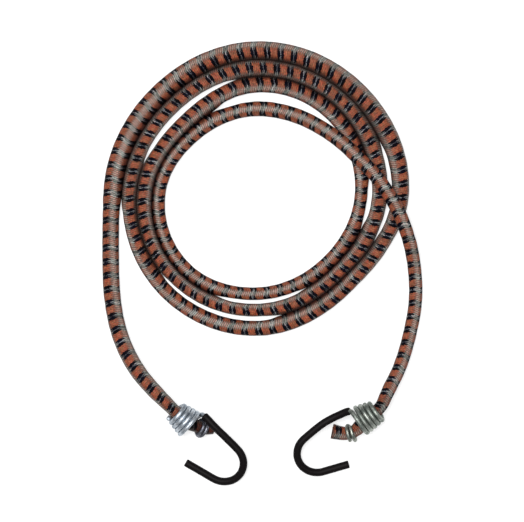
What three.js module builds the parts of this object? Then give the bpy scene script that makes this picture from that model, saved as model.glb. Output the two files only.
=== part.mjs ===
// Bungee cord: a braided elastic cord lying in loops, with a wound steel wire hook on each end.
// Millimetres. +Z is up and the surface that the cord lies on is z = 0. +Y runs from the hooks to the
// far side of the loops.

import * as THREE from "three";

// Driving dimensions of the cord. The loops and the leads follow the loops' radius.

const loopRadius = 90;
const cordDiameter = 9;
const coreClearance = 0.3;
const neckLength = 4.2;
const seamGap = 0.3;

// The sheath's wall is a share of the cord's diameter. The cord is gripped to one share of its diameter in a
// coil, and to another in a crimp ring.
const wallShare = 0.1111;
const gripShare = 0.9667;
const neckShare = 0.7333;

// Driving dimensions of the wire part, its sleeve and the crimp ring

const wireDiameter = 2.5;
const coilPitch = 2.92;
const coilClearance = 0.45;
const mouthPlay = 3.25;
const bendRadius = 12.9;
const sleeveWall = 0.9;
const sleeveClearance = 0.3;
const sleeveOverrun = 1.2;
const ringWireDiameter = 2.2;
const ringPitch = 2.7;
const ringClearance = 0.6;

// The sleeve starts this share of the way from the shoulder to the shank's first place.
const sleeveStartShare = 0.06;

// The coil widens faster at its narrow end: its radius follows this power of the way along it.
const coilBulge = 0.8;

// Angles

const legSplayDegrees = 15.5;
const coilEndDegrees = -84;

// The wire leaves its coil over a shoulder: along the axis and outwards, as shares of the wire's radius,
// at an angle round the axis.
const shoulderShares = [
  [0.05, -58, 0.15],
  [0.35, -36, 0.35],
  [1, -16, 0.8],
];

// Counts

const cordSides = 8;
const wireSides = 8;
const ringSides = 6;
const loopSteps = 24;
const crossingSteps = 48;
const curlSteps = 12;
const curlTurns = 4.4;
const bendSteps = 12;
const ringSteps = 22;
const ringTurns = 1.3;
const fineSteps = 12;

const cordRadius = cordDiameter / 2;
const sheathWall = wallShare * cordDiameter;
const gripRadius = gripShare * cordRadius;
const neckRadius = neckShare * cordRadius;
const tailRingStep = cordDiameter / 3;
const wireRadius = wireDiameter / 2;
const sleeveBoreRadius = wireRadius + sleeveClearance;
const sleeveRadius = sleeveBoreRadius + sleeveWall;
const ringWireRadius = ringWireDiameter / 2;
const curlLength = curlTurns * coilPitch;
const narrowRadius = gripRadius + coilClearance + wireRadius;
const wideRadius = gripRadius + mouthPlay + wireRadius;

// A cord that lies down flattens by a tenth of its diameter: its centre lies this share of its radius up.
const restShare = 0.8;

// Loops of the cord, wound clockwise and inwards, from the left. Each place has its turn, counted from
// the left, how far it lies inside the loops' radius, its thickness, and how far it is lifted. These three
// are shares of the cord's diameter. The last half turn climbs over the other loops and leaves outwards.

const middleShares = [-0.0344, 0.4722];
const loopMiddle = new THREE.Vector3(middleShares[0], middleShares[1], 0).multiplyScalar(loopRadius);
const loopShares = [
  [0, -0.0667, 1.18, 0],
  [0.125, 0.2444, 1.24, 0],
  [0.25, 0.0222, 1.2, 0],
  [0.375, 0.1111, 1.24, 0],
  [0.5, 0.1333, 1.04, 0],
  [0.5625, 0.8, 0.92, 0],
  [0.625, 1.2556, 0.97, 0],
  [0.75, 0.8111, 1.01, 0],
  [0.875, 0.8333, 0.95, 0],
  [1, 1.1222, 0.9, 0],
  [1.125, 1.5222, 0.94, 0],
  [1.25, 1.2444, 1.04, 0],
  [1.375, 1.3444, 0.98, 0],
  [1.5, 1.6556, 0.94, 0],
  [1.5625, 1.9778, 0.93, 0],
  [1.625, 2.3333, 0.87, 0],
  [1.75, 2.0667, 0.86, 0],
  [1.875, 1.9222, 0.85, 0],
  [2, 2.1444, 0.93, 0],
  [2.125, 2.9, 1.01, 0],
  [2.25, 2.4, 1.03, 0],
  [2.375, 2.4333, 0.99, 0],
  [2.5, 2.8889, 0.86, 0],
  [2.625, 3.3222, 0.88, 0],
  [2.75, 3.2, 0.85, 0],
  [2.875, 2.8889, 0.84, 0],
  [3, 3.2, 0.8, 0],
  [3.125, 3.9889, 0.86, 0],
  [3.25, 4.0556, 1, 0],
  [3.3125, 3.9667, 1, 0.1],
  [3.375, 3.6222, 0.97, 0.467],
  [3.4375, 2.8222, 0.94, 1],
  [3.46875, 2.0222, 0.92, 1.122],
  [3.5, 1.0222, 0.92, 1.133],
  [3.53125, -0.1667, 0.91, 1.089],
];
const climbTurn = loopShares[loopShares.findIndex((row) => row[3] > 0) - 1][0];
const lastTurn = loopShares[loopShares.length - 1][0];

// Routes of the two free leads from the loops to the fittings. Their x and y are shares of the loops'
// radius, and their thickness and lift are shares of the cord's diameter.

const leftLeadShares = [
  [-1.0467, 0.3689, 1.12, 0],
  [-1.05, 0.2311, 1.12, 0],
  [-1.05, 0.0222, 1.12, 0],
  [-1.0433, -0.1822, 1.12, 0],
  [-1.0267, -0.32, 1.1, 0.033],
  [-0.9956, -0.4578, 1.09, 0.122],
  [-0.9433, -0.5956, 1.08, 0.322],
  [-0.8644, -0.7333, 1.06, 0.622],
  [-0.7622, -0.8556, 1, 0.856],
];
const rightLeadShares = [
  [1.0022, 0.1622, 0.9, 0.8],
  [1.0233, 0.0822, 0.9, 0.489],
  [1.0444, -0.0444, 0.9, 0.133],
  [1.0533, -0.1822, 0.9, 0],
  [1.0444, -0.32, 0.9, 0],
  [1.0178, -0.4578, 0.9, 0.022],
  [0.9822, -0.5956, 0.9, 0.156],
  [0.9322, -0.7333, 0.9, 0.411],
  [0.8811, -0.8333, 0.91, 0.656],
  [0.8433, -0.9089, 0.92, 0.844],
  [0.8111, -0.9756, 0.93, 0.922],
];

// Fittings. The middle of the wire coil's wide end is in shares of the loops' radius. The heading is that
// of the coil's axis from the cord to the hook. The outline runs along that axis, in shares of the coil's
// length, and out from the coil's wide end, in shares of the wire's diameter, to the shank's side, where
// the coil shifts too as it widens. The leg is a share of the bend's radius. The cord lies straight in the
// grip from bendIn on. The tail's places along, across and up, its thickness and the crimp ring's place are
// in shares of the cord's diameter.

const fittings = {
  left: {
    mouthShares: [-0.5022, -1.1156],
    headingDegrees: -44.8,
    shankDegrees: 1,
    wayUp: 1,
    shankShares: [[0.8562, 0.94], [1.6734, 0.98]],
    coilShiftShare: 0.36,
    bendReachShare: 2.3817,
    bendTopShare: 0.92,
    legShare: 1.5349,
    bendInShare: -1.4788,
    tailShares: [
      [0, 0.1778, 1.0444, 1],
      [0.3333, 0.3111, 0.8889, 1],
      [0.6778, 0.4222, 0.6889, 0.96],
      [0.9667, 0.6556, 0.4778, 0.9],
      [1.2556, 0.9444, 0.3444, 0.84],
    ],
    ringShare: 0.6667,
  },
  right: {
    mouthShares: [0.6656, -1.0856],
    headingDegrees: -149,
    shankDegrees: 9,
    wayUp: -1,
    shankShares: [[0.7783, 0.82], [1.5567, 0.98]],
    coilShiftShare: 0.24,
    bendReachShare: 2.5374,
    bendTopShare: 0.14,
    legShare: 1.2868,
    bendInShare: -0.7628,
    tailShares: [
      [0, -0.2, 1.0333, 1],
      [0.4444, -0.3556, 0.9333, 1],
      [0.9556, -0.3778, 0.8111, 1],
      [1.4444, -0.1, 0.7333, 1],
      [1.9889, 0.3889, 0.6889, 1.1],
    ],
    ringShare: 0.9556,
  },
};

// Lengths of the fittings
for (const fitting of Object.values(fittings)) {
  const { mouthShares, shankShares, tailShares } = fitting;
  fitting.mouth = mouthShares.map((share) => share * loopRadius);
  fitting.coilShift = fitting.coilShiftShare * wireDiameter;
  fitting.shank = shankShares.map(([along, out]) => [along * curlLength, wideRadius + out * wireDiameter]);
  fitting.bendReach = fitting.bendReachShare * curlLength;
  fitting.bendOffset = wideRadius + fitting.bendTopShare * wireDiameter - bendRadius;
  fitting.legLength = fitting.legShare * bendRadius;
  fitting.bendIn = fitting.bendInShare * curlLength;
  fitting.tail = tailShares.map((row) => row.slice(0, 3).map((share) => share * cordDiameter));
  fitting.ringPlace = fitting.ringShare * cordDiameter;
}

const up = new THREE.Vector3(0, 0, 1);
const rad = THREE.MathUtils.degToRad;

// Smooth value at x, in one column of rows whose first column rises
function between(rows, x, column) {
  let i = 0;
  while (i < rows.length - 2 && rows[i + 1][0] <= x) i += 1;
  const slope = (k) => {
    const before = rows[Math.max(k - 1, 0)];
    const after = rows[Math.min(k + 1, rows.length - 1)];
    return (after[column] - before[column]) / (after[0] - before[0]);
  };
  const [a, b] = [rows[i], rows[i + 1]];
  const width = b[0] - a[0];
  const t = (x - a[0]) / width;
  return (
    a[column] * (1 + 2 * t) * (1 - t) ** 2 +
    b[column] * t * t * (3 - 2 * t) +
    slope(i) * width * t * (1 - t) ** 2 +
    slope(i + 1) * width * t * t * (t - 1)
  );
}

// Height of the cord's centre where it lies down, raised by a share of the cord's diameter
function restHeight(share, liftShare) {
  return restShare * cordRadius * share + liftShare * cordDiameter;
}

// A place of the loops
function loopPlace(turn) {
  const share = between(loopShares, turn, 2);
  const distance = loopRadius - between(loopShares, turn, 1) * cordDiameter;
  const angle = Math.PI * (1 - 2 * turn);
  const point = new THREE.Vector3(Math.cos(angle), Math.sin(angle), 0).multiplyScalar(distance);
  point.add(loopMiddle);
  point.z = restHeight(share, between(loopShares, turn, 3));
  return { point, share, turn };
}

// How a fitting lies: its coil's wide end, the bend of its hook and the end of its leg touch the surface.
// Gives the sines of its pitch and roll.
function lie(fitting) {
  const drop = wideRadius + wireRadius - sleeveRadius;
  const splay = rad(legSplayDegrees);
  const tipAlong = fitting.bendReach + bendRadius * Math.sin(splay) - fitting.legLength * Math.cos(splay);
  const tipAcross = fitting.bendOffset - bendRadius * Math.cos(splay) - fitting.legLength * Math.sin(splay);
  let pitch = 0;
  let roll = 0;
  for (let pass = 0; pass < 40; pass += 1) {
    roll = (drop - tipAlong * pitch) / -tipAcross;
    pitch = (drop + fitting.bendOffset * roll - bendRadius * Math.hypot(pitch, roll)) / fitting.bendReach;
  }
  return { pitch, roll };
}

// Axes of a fitting: along from the cord to the hook, across to the shank's side, and over. The level pair
// is the same in plan.
function fittingAxes(fitting) {
  const heading = rad(fitting.headingDegrees);
  const { pitch, roll } = lie(fitting);
  const levelAlong = new THREE.Vector3(Math.cos(heading), Math.sin(heading), 0);
  const levelAcross = new THREE.Vector3().crossVectors(up, levelAlong).multiplyScalar(fitting.wayUp);
  const along = levelAlong.clone().multiplyScalar(Math.sqrt(1 - pitch * pitch));
  along.addScaledVector(up, -pitch);
  const raised = new THREE.Vector3().crossVectors(along, levelAcross).multiplyScalar(fitting.wayUp);
  const across = levelAcross.clone().multiplyScalar(Math.sqrt(1 - roll * roll)).addScaledVector(raised, roll);
  const over = new THREE.Vector3().crossVectors(along, across);
  const mouth = new THREE.Vector3(fitting.mouth[0], fitting.mouth[1], wideRadius + wireRadius);
  return { mouth, levelAlong, levelAcross, along, across, over };
}

// Places of a cord's end, from the grip's narrow side to the cut end
function tailPlaces(fitting) {
  const axes = fittingAxes(fitting);
  const gripEnd = -curlLength / 4;
  const places = [fitting.bendIn, (fitting.bendIn + gripEnd) / 2, gripEnd].map((along) => ({
    point: axes.mouth.clone().addScaledVector(axes.along, along),
    share: gripShare,
  }));
  fitting.tail.forEach(([along, across, height], i) => {
    const point = axes.mouth.clone();
    point.addScaledVector(axes.levelAlong, along).addScaledVector(axes.levelAcross, across);
    point.z = height;
    places.push({ point, share: fitting.tailShares[i][3] * gripShare });
  });
  return places;
}

function leadPlaces(rows) {
  return rows.map(([xShare, yShare, share, liftShare]) => ({
    point: new THREE.Vector3(xShare * loopRadius, yShare * loopRadius, restHeight(share, liftShare)),
    share,
  }));
}

// Fine places on a smooth curve through the given ones, from one of them to another
function smoothPlaces(places, from, to) {
  const curve = new THREE.CatmullRomCurve3(places.map((place) => place.point));
  const shares = places.map((place, i) => [i, place.share]);
  const fine = [];
  for (let i = from * fineSteps; i <= to * fineSteps; i += 1) {
    const place = i / fineSteps;
    fine.push({ point: curve.getPoint(place / (places.length - 1)), share: between(shares, place, 1) });
  }
  return fine;
}

// The whole cord's centreline, from the left tail's cut end to the right tail's
function cordRoute() {
  const guideTurn = 1 / loopSteps;
  const left = [
    ...tailPlaces(fittings.left).reverse(),
    ...leadPlaces(leftLeadShares).reverse(),
    loopPlace(0),
    loopPlace(guideTurn),
  ];
  const right = [
    loopPlace(lastTurn - guideTurn / 2),
    loopPlace(lastTurn),
    ...leadPlaces(rightLeadShares),
    ...tailPlaces(fittings.right),
  ];
  const loops = [];
  const steps = Math.round((lastTurn * crossingSteps * fineSteps) / 2);
  for (let i = 1; i < steps; i += 1) loops.push(loopPlace((lastTurn * i) / steps));
  const route = [
    ...smoothPlaces(left, 0, left.length - 2),
    ...loops,
    ...smoothPlaces(right, 1, right.length - 1),
  ];
  let length = 0;
  route.forEach((place, i) => {
    if (i > 0) length += place.point.distanceTo(route[i - 1].point);
    place.length = length;
  });
  return route;
}

const route = cordRoute();
const cordLength = route[route.length - 1].length;

// The cord at a length from its left cut end: centre, direction and radius
function cordAt(length) {
  const place = (at) => {
    let low = 0;
    let high = route.length - 1;
    while (high - low > 1) {
      const middle = Math.floor((low + high) / 2);
      if (route[middle].length <= at) low = middle;
      else high = middle;
    }
    const [a, b] = [route[low], route[high]];
    const t = (at - a.length) / (b.length - a.length);
    return { point: a.point.clone().lerp(b.point, t), share: THREE.MathUtils.lerp(a.share, b.share, t) };
  };
  const reach = cordDiameter / 8;
  const here = place(length);
  const direction = place(length + reach).point.sub(place(length - reach).point).normalize();
  return { point: here.point, direction, radius: cordRadius * here.share };
}

// Length along the cord where it passes a place on a fitting's axis
function lengthAtFitting(fitting, along) {
  const axes = fittingAxes(fitting);
  let best = route[0];
  let least = Infinity;
  for (const place of route) {
    const offset = place.point.clone().sub(axes.mouth);
    const miss = Math.abs(offset.dot(axes.along) - along);
    if (miss < least && offset.length() < curlLength * 2) {
      least = miss;
      best = place;
    }
  }
  return best.length;
}

// Closed skin over rings of points that follow each other, with a bore where one is given
function skin(outer, bore) {
  const sides = outer[0].length;
  const last = outer.length - 1;
  const points = [...outer.flat(), ...(bore ? bore.flat() : [])];
  const faces = [];
  const at = (ring, k, start) => start + ring * sides + (k % sides);
  const wall = (start, inward) => {
    for (let i = 0; i < last; i += 1) {
      for (let k = 0; k < sides; k += 1) {
        const [a, b] = [at(i, k, start), at(i, k + 1, start)];
        const [d, c] = [at(i + 1, k, start), at(i + 1, k + 1, start)];
        if (inward) faces.push(a, c, b, a, d, c);
        else faces.push(a, b, c, a, c, d);
      }
    }
  };
  wall(0, false);
  if (bore) {
    const start = outer.length * sides;
    wall(start, true);
    for (let k = 0; k < sides; k += 1) {
      faces.push(at(0, k + 1, 0), at(0, k, 0), at(0, k, start));
      faces.push(at(0, k + 1, 0), at(0, k, start), at(0, k + 1, start));
      faces.push(at(last, k, 0), at(last, k + 1, 0), at(last, k, start));
      faces.push(at(last, k, start), at(last, k + 1, 0), at(last, k + 1, start));
    }
  } else {
    const middle = (ring) => ring.reduce((sum, p) => sum.add(p), new THREE.Vector3()).divideScalar(sides);
    const [first, end] = [points.length, points.length + 1];
    points.push(middle(outer[0]), middle(outer[last]));
    for (let k = 0; k < sides; k += 1) {
      faces.push(first, at(0, k + 1, 0), at(0, k, 0));
      faces.push(end, at(last, k, 0), at(last, k + 1, 0));
    }
  }
  const geometry = new THREE.BufferGeometry();
  const numbers = points.flatMap((point) => point.toArray());
  geometry.setAttribute("position", new THREE.Float32BufferAttribute(numbers, 3));
  geometry.setIndex(faces);
  geometry.computeVertexNormals();
  return geometry;
}

// Ring of points round a centre, with a flat side towards each of the two frame directions
function sectionRing(centre, right, over, radius, sides) {
  const ring = [];
  for (let k = 0; k < sides; k += 1) {
    const angle = ((k + 0.5) * 2 * Math.PI) / sides;
    const point = centre.clone().addScaledVector(right, radius * Math.cos(angle));
    ring.push(point.addScaledVector(over, radius * Math.sin(angle)));
  }
  return ring;
}

// Ring of the cord's skin at a length, set in from the outside. It is flat where the cord lies down.
function cordRing(length, inset) {
  const { point, direction, radius } = cordAt(length);
  const over = up.clone().addScaledVector(direction, -direction.z).normalize();
  const right = new THREE.Vector3().crossVectors(over, direction);
  const ring = sectionRing(point, right, over, radius - inset, cordSides);
  for (const corner of ring) corner.z = Math.max(corner.z, inset);
  return ring;
}

// Sheath and core of one stretch of the cord, with rings at the given lengths
function stretchOf(lengths) {
  const rings = (inset) => lengths.map((length) => cordRing(length, inset));
  return {
    sheath: skin(rings(0), rings(sheathWall)),
    core: skin(rings(sheathWall + coreClearance)),
  };
}

// Even lengths from one to another, no further apart than a step
function evenly(from, to, step) {
  const count = Math.ceil((to - from) / step);
  return Array.from({ length: count + 1 }, (unused, i) => from + ((to - from) * i) / count);
}

// The cord is cut into stretches at the loops' ends, which run straight for a diameter or more, and
// where it enters each fitting.
const loopsFrom = route.find((place) => place.turn > 0).length - 2 * cordDiameter;
const loopsTo = route.findLast((place) => place.turn > 0).length + cordDiameter;
const seamOutside = curlLength + wireRadius + coilClearance;
const leftSeam = lengthAtFitting(fittings.left, -seamOutside);
const rightSeam = lengthAtFitting(fittings.right, -seamOutside);
const halfSeam = seamGap / 2;

function loopLengths() {
  const lengths = [loopsFrom + halfSeam, loopsFrom + cordDiameter];
  for (let step = 0; step <= lastTurn * crossingSteps; step += 1) {
    const turn = step / crossingSteps;
    if (turn > climbTurn || step % (crossingSteps / loopSteps) === 0) {
      const nearest = route.find((place) => place.turn >= turn);
      if (nearest) lengths.push(nearest.length);
    }
  }
  lengths.push(loopsTo - halfSeam);
  return lengths;
}

// Rings of a tail: even ones, and closer ones along the crimp ring's neck
function tailLengths(from, to, neck) {
  const even = evenly(from, to, tailRingStep);
  const free = even.filter((length) => Math.abs(length - neck) > neckLength + tailRingStep / 3);
  const necked = [-1, -0.5, 0, 0.5, 1].map((share) => neck + neckLength * share);
  return [...free, ...necked].sort((a, b) => a - b);
}

// Narrows the route's thickness under each crimp ring
function neckIn(fitting) {
  const middle = lengthAtFitting(fitting, fitting.ringPlace);
  for (const place of route) {
    const away = (place.length - middle) / neckLength;
    place.share -= (place.share - neckShare) * Math.exp(-(away ** 4));
  }
  return middle;
}

const leftNeck = neckIn(fittings.left);
const rightNeck = neckIn(fittings.right);

const stretches = {
  coil: stretchOf(loopLengths()),
  lead_left: stretchOf(evenly(leftSeam + halfSeam, loopsFrom - halfSeam, cordDiameter)),
  lead_right: stretchOf(evenly(loopsTo + halfSeam, rightSeam - halfSeam, cordDiameter)),
  tail_left: stretchOf(tailLengths(0, leftSeam - halfSeam, leftNeck)),
  tail_right: stretchOf(tailLengths(rightSeam + halfSeam, cordLength, rightNeck)),
};

// Centreline of a wire part in its fitting's axes, from the coil's narrow end to the hook's tip
function wirePath(fitting) {
  const axes = fittingAxes(fitting);
  const place = (along, across, over) =>
    axes.mouth
      .clone()
      .addScaledVector(axes.along, along)
      .addScaledVector(axes.across, across)
      .addScaledVector(axes.over, over);
  const round = (along, degrees, radius, shift) =>
    place(along, shift + radius * Math.cos(rad(degrees)), radius * Math.sin(rad(degrees)));
  const points = [];
  const curls = Math.round(curlTurns * curlSteps);
  for (let i = 0; i <= curls; i += 1) {
    const t = i / curls;
    const degrees = coilEndDegrees - 360 * curlTurns * (1 - t);
    const radius = THREE.MathUtils.lerp(narrowRadius, wideRadius, t ** coilBulge);
    points.push(round(-curlLength * (1 - t), degrees, radius, fitting.coilShift * t));
  }
  const coilRings = points.length;
  for (const [along, degrees, out] of shoulderShares) {
    points.push(round(along * wireRadius, degrees, wideRadius + out * wireRadius, fitting.coilShift));
  }
  const sleeveFrom = points.length;
  for (const [along, across] of fitting.shank) points.push(place(along, across, 0));
  const startAngle = rad(90 - fitting.shankDegrees);
  const endAngle = -rad(90 - legSplayDegrees);
  for (let i = 0; i <= bendSteps; i += 1) {
    const angle = THREE.MathUtils.lerp(startAngle, endAngle, i / bendSteps);
    const across = fitting.bendOffset + bendRadius * Math.sin(angle);
    points.push(place(fitting.bendReach + bendRadius * Math.cos(angle), across, 0));
  }
  const legEnd = points[points.length - 1].clone();
  const legDirection = axes.along.clone().multiplyScalar(-Math.cos(rad(legSplayDegrees)));
  legDirection.addScaledVector(axes.across, -Math.sin(rad(legSplayDegrees)));
  points.push(legEnd.clone().addScaledVector(legDirection, fitting.legLength / 2));
  points.push(legEnd.addScaledVector(legDirection, fitting.legLength - sleeveOverrun));
  return { axes, points, coilRings, sleeveFrom, legDirection };
}

// Frames along a path, turned as little as possible from the last point's, where one side faces over
function framesAlong(points, over) {
  const frames = points.map((point, i) => {
    const before = points[Math.max(i - 1, 0)];
    const after = points[Math.min(i + 1, points.length - 1)];
    return { point, direction: after.clone().sub(before).normalize() };
  });
  let side = over.clone();
  for (let i = frames.length - 1; i >= 0; i -= 1) {
    const { direction } = frames[i];
    side.addScaledVector(direction, -side.dot(direction)).normalize();
    frames[i].over = side.clone();
    frames[i].right = new THREE.Vector3().crossVectors(side, direction);
  }
  return frames;
}

// Wire part and sleeve of a fitting
function hookOf(fitting) {
  const { axes, points, coilRings, sleeveFrom, legDirection } = wirePath(fitting);
  const frames = framesAlong(points, axes.over);
  const rings = (list, radius) => list.map((f) => sectionRing(f.point, f.right, f.over, radius, wireSides));
  const covered = frames.slice(sleeveFrom);
  const start = { ...frames[sleeveFrom - 1] };
  start.point = frames[sleeveFrom - 1].point.clone().lerp(frames[sleeveFrom].point, sleeveStartShare);
  start.direction = frames[sleeveFrom].point.clone().sub(frames[sleeveFrom - 1].point).normalize();
  start.over = start.over.clone().addScaledVector(start.direction, -start.over.dot(start.direction));
  start.over.normalize();
  start.right = new THREE.Vector3().crossVectors(start.over, start.direction);
  const tip = { ...covered[covered.length - 1] };
  tip.point = tip.point.clone().addScaledVector(legDirection, sleeveOverrun);
  const sleeved = [start, ...covered, tip];
  const wired = [...frames.slice(0, sleeveFrom), start, ...covered];
  return {
    wire: skin(rings(wired, wireRadius)),
    sleeve: skin(rings(sleeved, sleeveRadius), rings(sleeved, sleeveBoreRadius)),
    curls: frames.slice(0, coilRings),
    axes,
  };
}

// Crimp ring round the neck of a tail: more than one turn of wire, so that its ends pass each other on top
function crimpRing(neckAt) {
  const { point, direction } = cordAt(neckAt);
  const over = up.clone().addScaledVector(direction, -direction.z).normalize();
  const right = new THREE.Vector3().crossVectors(over, direction);
  const radius = (neckRadius + ringClearance) / Math.cos(Math.PI / ringSteps) + ringWireRadius;
  const rings = [];
  for (let i = 0; i <= ringSteps; i += 1) {
    const turns = ringTurns * (i / ringSteps - 0.5);
    const angle = 2 * Math.PI * turns - Math.PI / 2;
    const outward = right.clone().multiplyScalar(Math.cos(angle)).addScaledVector(over, Math.sin(angle));
    const centre = point.clone().addScaledVector(outward, radius);
    centre.addScaledVector(direction, -ringPitch * turns);
    rings.push(sectionRing(centre, outward, direction.clone().negate(), ringWireRadius, ringSides));
  }
  return skin(rings);
}

// Materials

const finishes = {
  braid: { color: 0x8d6a58, roughness: 0.85, metalness: 0 },
  rubber: { color: 0xc9b08a, roughness: 0.7, metalness: 0 },
  zinc: { color: 0xa9adaf, roughness: 0.35, metalness: 1 },
  vinyl: { color: 0x151417, roughness: 0.45, metalness: 0 },
  ringSteel: { color: 0x8f959b, roughness: 0.4, metalness: 1 },
};

const part = new THREE.Group();

function addNode(name, geometry, finish) {
  const mesh = new THREE.Mesh(geometry, new THREE.MeshStandardMaterial(finishes[finish]));
  mesh.name = name;
  part.add(mesh);
}

for (const [name, { sheath, core }] of Object.entries(stretches)) {
  addNode(`sheath_${name}`, sheath, "braid");
  addNode(`core_${name}`, core, "rubber");
}
const hooks = {};
for (const [side, neckAt] of [["left", leftNeck], ["right", rightNeck]]) {
  hooks[side] = hookOf(fittings[side]);
  addNode(`hook_wire_${side}`, hooks[side].wire, "zinc");
  addNode(`hook_sleeve_${side}`, hooks[side].sleeve, "vinyl");
  addNode(`crimp_ring_${side}`, crimpRing(neckAt), "ringSteel");
}

// Least gap between parts of one tube that lie more than an arc apart, measured on its centre line
function leastGap(places, arc) {
  let least = Infinity;
  for (let i = 0; i < places.length; i += 1) {
    for (let j = i + 1; j < places.length; j += 1) {
      if (places[j].length - places[i].length < arc) continue;
      const gap = places[i].point.distanceTo(places[j].point) - places[i].radius - places[j].radius;
      least = Math.min(least, gap);
    }
  }
  return least;
}

const sampleLengths = evenly(loopsFrom, loopsTo, cordRadius / 3);
const loopSamples = sampleLengths.map((length) => ({ length, ...cordAt(length) }));
console.log("cord length", cordLength.toFixed(1));
console.log("least gap of the loops", leastGap(loopSamples, 6 * cordDiameter).toFixed(2));
for (const side of ["left", "right"]) {
  const { curls, axes } = hooks[side];
  const curve = new THREE.CatmullRomCurve3(curls.map((frame) => frame.point));
  const samples = curve.getSpacedPoints(curls.length * 6);
  const step = curve.getLength() / (curls.length * 6);
  const places = samples.map((point, i) => ({ point, length: i * step, radius: wireRadius }));
  console.log(`least gap of the ${side} wire coil`, leastGap(places, Math.PI * narrowRadius).toFixed(2));
  console.log(`${side} swivel axis`, axes.mouth.toArray().map((v) => v.toFixed(3)).join(" "));
  console.log(axes.along.toArray().map((v) => v.toFixed(5)).join(" "));
}

export default part;
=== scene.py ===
import math

import bpy
import numpy as np
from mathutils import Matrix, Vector


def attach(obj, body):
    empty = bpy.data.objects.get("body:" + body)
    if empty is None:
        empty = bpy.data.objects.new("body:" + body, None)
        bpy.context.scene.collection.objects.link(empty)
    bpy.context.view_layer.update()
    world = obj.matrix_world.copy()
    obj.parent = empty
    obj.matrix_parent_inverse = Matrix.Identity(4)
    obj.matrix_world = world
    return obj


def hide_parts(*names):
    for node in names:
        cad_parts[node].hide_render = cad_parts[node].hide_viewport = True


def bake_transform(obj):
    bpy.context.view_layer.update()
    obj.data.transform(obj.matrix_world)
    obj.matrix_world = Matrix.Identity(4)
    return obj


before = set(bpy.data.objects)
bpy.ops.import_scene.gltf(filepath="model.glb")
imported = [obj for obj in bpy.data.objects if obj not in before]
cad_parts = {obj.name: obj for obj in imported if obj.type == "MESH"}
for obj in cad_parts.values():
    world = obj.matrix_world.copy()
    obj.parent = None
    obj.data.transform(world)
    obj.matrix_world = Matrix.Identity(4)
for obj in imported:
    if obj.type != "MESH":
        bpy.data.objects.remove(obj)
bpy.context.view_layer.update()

# Bungee cord: the looks of the braided cord, its wound wire hooks, their sleeves and the crimp rings.
# Tables and dimensions are in millimetres, as in the part's source, and turned into metres by MM.

MM = 0.001
SEED = 7

# Camera and light. Clipping distances and the lamps' places and sizes are in metres, power in watts.

VIEW_SIZE = 324.9
VIEW_MIDDLE = (-0.62, 1.55)
VIEW_HEIGHT = 1500
VIEW_LEVEL = 5
VIEW_CLIP = (0.05, 20)
SENSOR = 36
LAMPS = {"key": ((-0.3, 0.2, 1.8), 0.9, 36), "fill": ((0.4, -0.3, 1.7), 1.2, 8)}
WORLD_LEVEL = 0.2
FLOOR_SIZE = 3000
FLOOR_DEPTH = 0.1
FLOOR_GREY = 0.45
FLOOR_GLOW = 0.62

# Cord

LOOP_RADIUS = 90
CORD_DIAMETER = 9
WALL_SHARE = 0.1111
GRIP_SHARE = 0.9667
NECK_SHARE = 0.7333
NECK_LENGTH = 4.2
NECK_POWER = 4
REST_SHARE = 0.8
TAIL_GRIP_SHARE = 0.25
LIE_ROUNDS = 40
FINE_STEPS = 12
LOOP_STEPS = 24
CROSSING_STEPS = 48
LOOP_MARGINS = (18, 9)

# The braid shows rounder and a little fuller than the part's eight-sided cord, bulges where it touches
# the next loop, and is pinched less at the crimp rings.

CORD_ROUND = 1.03
GRIP_ROUND = 0.905
TAIL_ROUND = 0.97
CORD_SIDES = 36
CORD_STEP = 0.62
SHOWN_NECK_SHARE = 0.86
UNEVEN_SHARE = 0.012
UNEVEN_WAVES = (37, 23, 14.5, 9.7)
WAVE_SWING = 2
SWELL = 0.04
SWELL_PHASE = 0.25
REST_GAP = 0.05
REST_EASE = 0.5
TOUCH_GAP = -0.12
TOUCH_FADE = 0.02
NEIGHBOUR_STEP = 1.5
OWN_REACH = 36
NO_TOUCH = 27
EASE_LENGTH = 12
PATH_STEP = 3
BLEND_MARGIN = 2

# Rim of a cut end: how far past the end, and the share of the wall by which it is set in

CUT_RIM = [(0, 0.25), (0.12, 0.6), (-0.05, 0.95), (-0.8, 1), (-2.5, 1)]

# Darkening painted into the cord's colour: darker at the cut ends and by the fittings, painted shade on
# its sides and underneath, and painted shade in the crevice between two loops

DARK_FADE_LENGTH = 16
END_DARKNESS = 0.9
END_DARK_LENGTH = 2.2
SIDE_SHADE = 0.55
SHADE_START = 0.6
CREVICE_SHADE_SINE = 0.58
CREVICE_SHADE_POWER = 0.55

# Braid's pattern: its period along the cord, the rows of floats in a period and the lanes round the cord.
# Half of a lane's columns are coloured and the other half greyer. The reaches are counted in rows. In each
# pair the first value is for the coloured floats and the second for the greyer ones.

PATTERN_PERIOD = 8.5
ROWS = 7
LANES = 3
LANE_COLUMNS = 4
COLUMNS = LANES * LANE_COLUMNS
PALE_ROW = 5.5
DARK_REACH = 0.9
GREY_REACH = 1.5
RAGGED = 1.3
LANE_SPREAD = 0.024
FLOAT_YARNS = (4, 2)
FLOAT_ARCH = 0.7
FLOAT_SHADE = (0.5, 0.2)
FLOAT_SWING = (0.5, 1.05)
YARN_SHADE = (0.9, 0.7)
YARN_SWING = (0.18, 0.6)

# Specular level of the braid, and of its near-black floats

BRAID_GLOSS = 0.25
DARK_GLOSS = 0.04

# Wire part. Its curve from the coil into the bend is guided by some of the points of both.

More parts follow.
